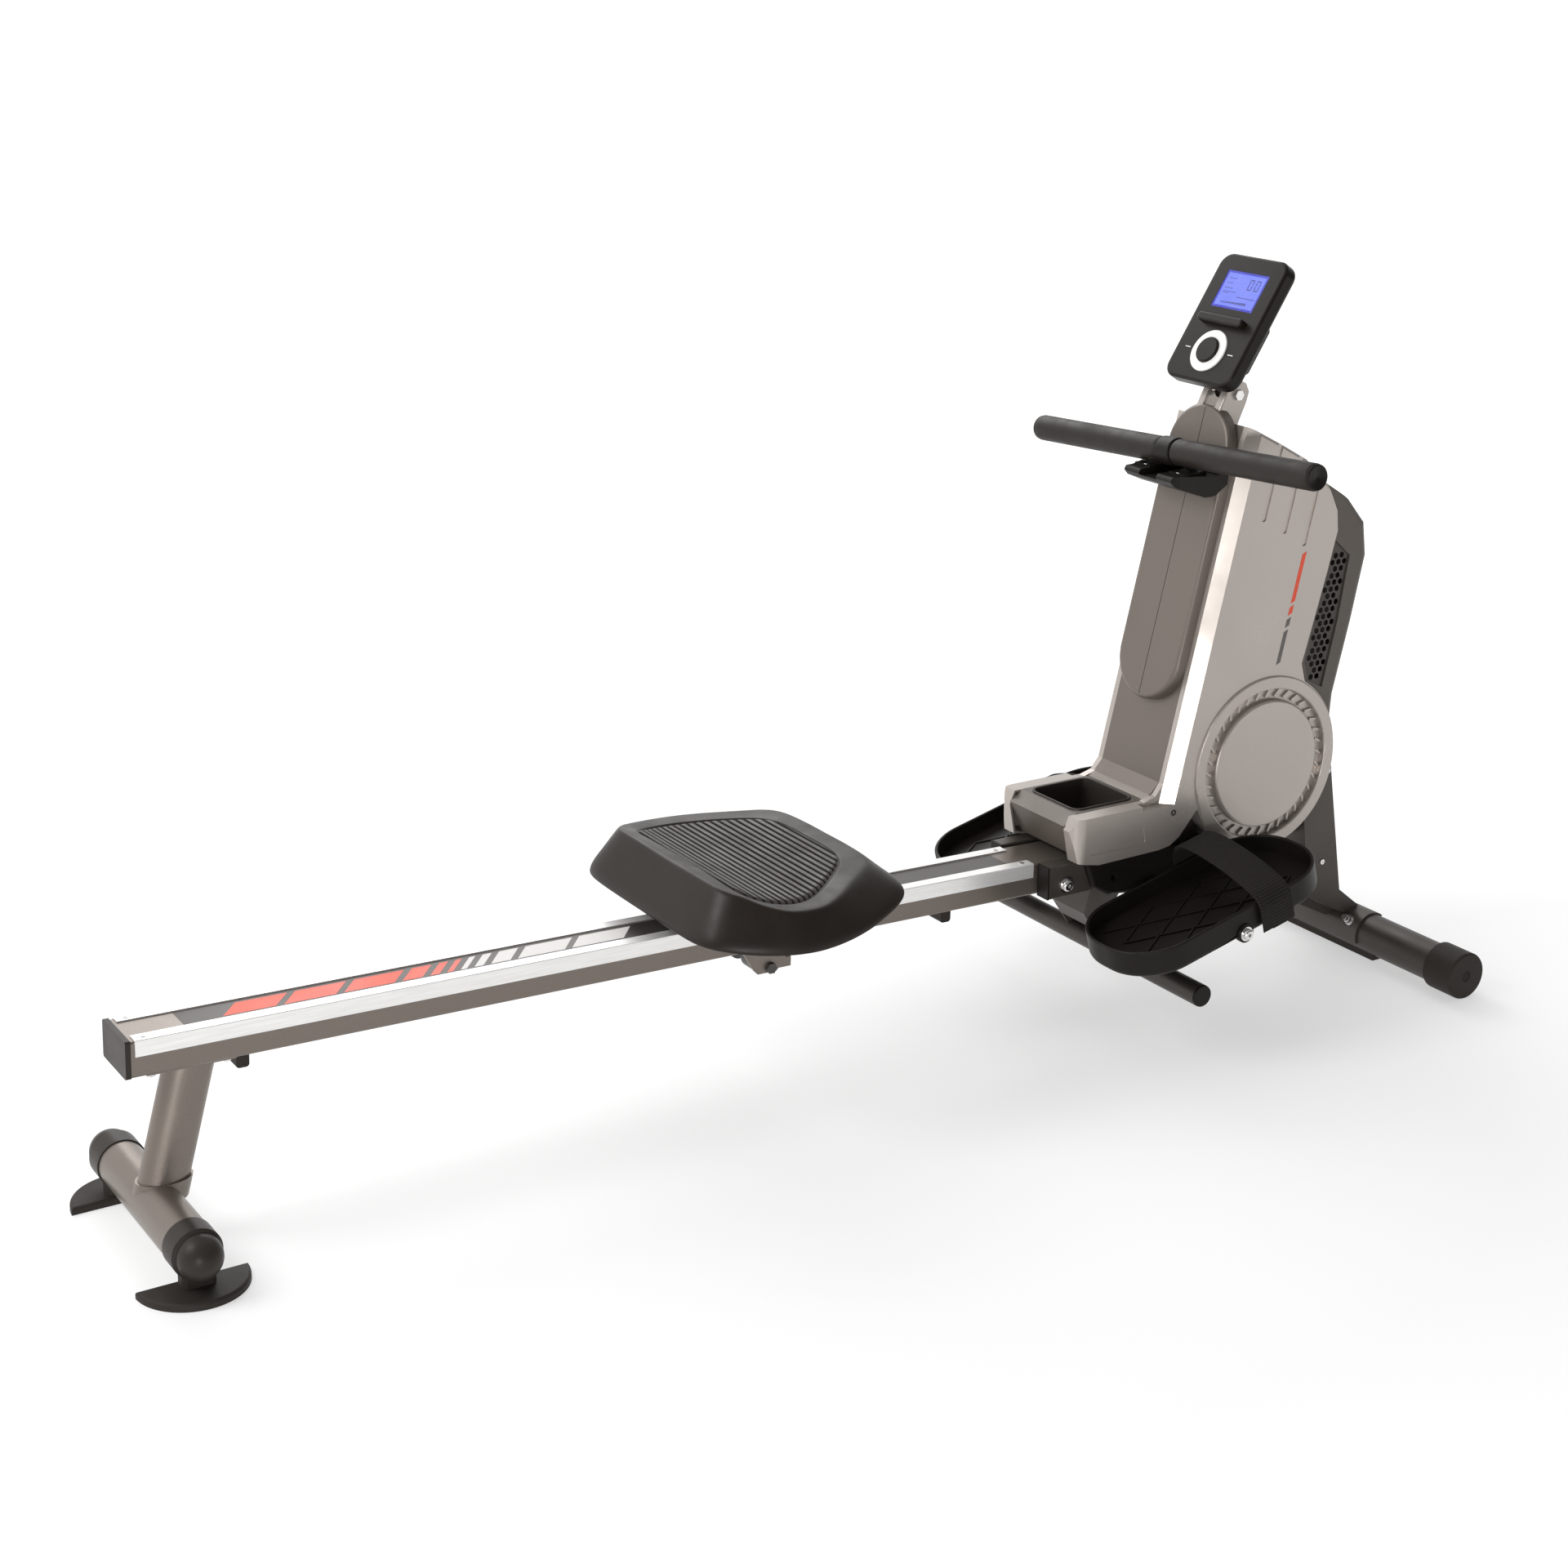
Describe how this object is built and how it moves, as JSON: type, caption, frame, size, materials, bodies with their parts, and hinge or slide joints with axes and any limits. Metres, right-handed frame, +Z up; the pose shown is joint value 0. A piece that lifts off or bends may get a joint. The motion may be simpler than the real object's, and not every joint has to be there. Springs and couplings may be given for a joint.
{
  "type": "rowing machine",
  "caption": "Folding magnetic rowing machine with a sliding seat on a rail, pull handle, tilting pedals, tilting console and enclosed flywheel.",
  "frame": {"origin": "on the floor, at the middle of the footprint between the rear feet and the transport wheels", "axes": "+X from the seat towards the flywheel, +Y to the seated user's left, +Z up"},
  "size_m": [1.9194, 0.5728, 1.0322],
  "materials": {
    "frame_paint": "dark metallic grey powder coat",
    "pewter_paint": "warm grey metallic paint",
    "silver_shell": "silver painted moulding, satin",
    "cover_grey": "dark grey moulding, satin",
    "black_plastic": "fine textured black moulding",
    "cap_plastic": "dark grey-brown moulding",
    "aluminium_strip": "brushed and clear anodised",
    "bright_steel": "zinc plated",
    "bare_steel": "ground steel",
    "cast_rim": "machined rim",
    "tyre_rubber": "matt",
    "grip_foam": "dense foam",
    "seat_skin": "self-skinned polyurethane",
    "webbing": "woven polyester",
    "lcd": "backlit display",
    "white_plastic": "gloss"
  },
  "bodies": {
    "frame": {"main_frame": "frame_paint", "front_stabilizer": "frame_paint", "frame_bolts": "bright_steel", "floor_strip": "tyre_rubber", "tube_plugs": "black_plastic", "rest_bar": "frame_paint", "pedal_axle": "bare_steel", "lower_shell": "black_plastic", "housing_left": "silver_shell", "housing_right": "silver_shell", "front_cover": "cover_grey", "spine_cover": "cover_grey", "back_shell": "cover_grey", "mesh_grilles": "black_plastic", "side_cover_left": "silver_shell", "side_cover_right": "silver_shell", "tray": "cover_grey", "console_bracket": "silver_shell", "handle_cradle": "black_plastic", "housing_screws": "bright_steel", "machine_axles": "bare_steel", "recoil_case": "black_plastic", "drive_belt": "tyre_rubber", "pull_strap": "webbing", "fold_bolt": "bright_steel"},
    "rail": {"rail_tube": "pewter_paint", "rail_strips": "aluminium_strip", "rail_screws": "bright_steel", "rail_end_cap": "black_plastic", "rail_stops": "tyre_rubber", "rear_leg": "pewter_paint", "rear_stabilizer": "pewter_paint", "rear_caps": "cap_plastic", "rear_feet": "tyre_rubber"},
    "seat": {"seat_pad": "seat_skin", "seat_carriage": "pewter_paint"},
    "roller_rear": {"seat_roller_rear": "tyre_rubber"},
    "roller_front": {"seat_roller_front": "tyre_rubber"},
    "roller_low": {"seat_roller_low": "tyre_rubber"},
    "handle": {"handle_bar": "bare_steel", "foam_grips": "grip_foam", "handle_clamp": "black_plastic"},
    "drum": {"drive_pulley": "black_plastic", "strap_drum": "black_plastic"},
    "guide": {"guide_roller": "black_plastic"},
    "flywheel": {"flywheel": "cast_rim", "flywheel_bearings": "bare_steel"},
    "brake": {"brake_arm": "bare_steel"},
    "pedal_l": {"pedal_left": "black_plastic", "foot_strap_left": "webbing"},
    "pedal_r": {"pedal_right": "black_plastic", "foot_strap_right": "webbing"},
    "console": {"console_case": "black_plastic", "console_back": "black_plastic", "console_screen": "lcd"},
    "dial": {"dial_ring": "white_plastic"},
    "button": {"dial_button": "black_plastic"},
    "lock": {"lock_pin": "black_plastic"},
    "wheel_l": {"wheel_left": "tyre_rubber"},
    "wheel_r": {"wheel_right": "tyre_rubber"}
  },
  "joints": [
    {"name": "rail_fold", "type": "hinge", "parent": "frame", "child": "rail", "pos_m": [0.3652, 0, 0.2141], "axis": [0, 1, 0], "range_deg": [0, 64]},
    {"name": "seat_slide", "type": "slide", "parent": "rail", "child": "seat", "axis": [0.9997, 0, -0.0238], "range_m": [-0.66, 0.25]},
    {"name": "roller_rear_turn", "type": "hinge", "parent": "seat", "child": "roller_rear", "pos_m": [-0.15719, 0, 0.26839], "axis": [0, 1, 0], "range_deg": [-2707, 1029]},
    {"name": "roller_front_turn", "type": "hinge", "parent": "seat", "child": "roller_front", "pos_m": [-0.02923, 0, 0.26535], "axis": [0, 1, 0], "range_deg": [-2707, 1029]},
    {"name": "roller_low_turn", "type": "hinge", "parent": "seat", "child": "roller_low", "pos_m": [-0.10297, 0, 0.19288], "axis": [0, 1, 0], "range_deg": [-993, 2613]},
    {"name": "handle_pull", "type": "slide", "parent": "frame", "child": "handle", "axis": [-1, 0, 0], "range_m": [0, 0.9], "stiffness_N_per_m": 15, "springref_m": -0.5},
    {"name": "drum_turn", "type": "hinge", "parent": "frame", "child": "drum", "pos_m": [0.7258, 0, 0.56], "axis": [0, 1, 0], "range_deg": [-5, 1434]},
    {"name": "guide_turn", "type": "hinge", "parent": "frame", "child": "guide", "pos_m": [0.6448, 0, 0.7675], "axis": [0, 1, 0], "range_deg": [-4267, 5]},
    {"name": "flywheel_spin", "type": "hinge", "parent": "frame", "child": "flywheel", "pos_m": [0.6938, 0, 0.337], "axis": [0, 1, 0], "continuous": true},
    {"name": "brake_swing", "type": "hinge", "parent": "frame", "child": "brake", "pos_m": [0.7638, 0, 0.442], "axis": [0, 1, 0], "range_deg": [0, 6]},
    {"name": "pedal_left_tilt", "type": "hinge", "parent": "frame", "child": "pedal_l", "pos_m": [0.5158, 0.175, 0.18], "axis": [0, -1, 0], "range_deg": [-30, 28]},
    {"name": "pedal_right_tilt", "type": "hinge", "parent": "frame", "child": "pedal_r", "pos_m": [0.5158, -0.175, 0.18], "axis": [0, -1, 0], "range_deg": [-30, 28]},
    {"name": "console_tilt", "type": "hinge", "parent": "frame", "child": "console", "pos_m": [0.6608, 0, 0.852], "axis": [0, 1, 0], "range_deg": [-12, 20]},
    {"name": "dial_turn", "type": "hinge", "parent": "console", "child": "dial", "pos_m": [0.62524, 0, 0.91295], "axis": [-0.8406, 0, 0.5417], "continuous": true},
    {"name": "dial_press", "type": "slide", "parent": "console", "child": "button", "axis": [0.8406, 0, -0.5417], "range_m": [0, 0.0012], "stiffness_N_per_m": 400},
    {"name": "lock_pin_pull", "type": "slide", "parent": "frame", "child": "lock", "axis": [0, 1, 0], "range_m": [0, 0.008], "stiffness_N_per_m": 300},
    {"name": "wheel_left_spin", "type": "hinge", "parent": "frame", "child": "wheel_l", "pos_m": [0.9256, 0.245, 0.0341], "axis": [0, 1, 0], "continuous": true},
    {"name": "wheel_right_spin", "type": "hinge", "parent": "frame", "child": "wheel_r", "pos_m": [0.9256, -0.245, 0.0341], "axis": [0, 1, 0], "continuous": true}
  ],
  "couplings": [
    {"joint": "roller_rear_turn", "follows": "seat_slide", "rad_per_m": 71.429},
    {"joint": "roller_front_turn", "follows": "seat_slide", "rad_per_m": 71.429},
    {"joint": "roller_low_turn", "follows": "seat_slide", "rad_per_m": -68.966},
    {"joint": "drum_turn", "follows": "handle_pull", "rad_per_m": 27.701},
    {"joint": "guide_turn", "follows": "handle_pull", "rad_per_m": -82.645}
  ]
}
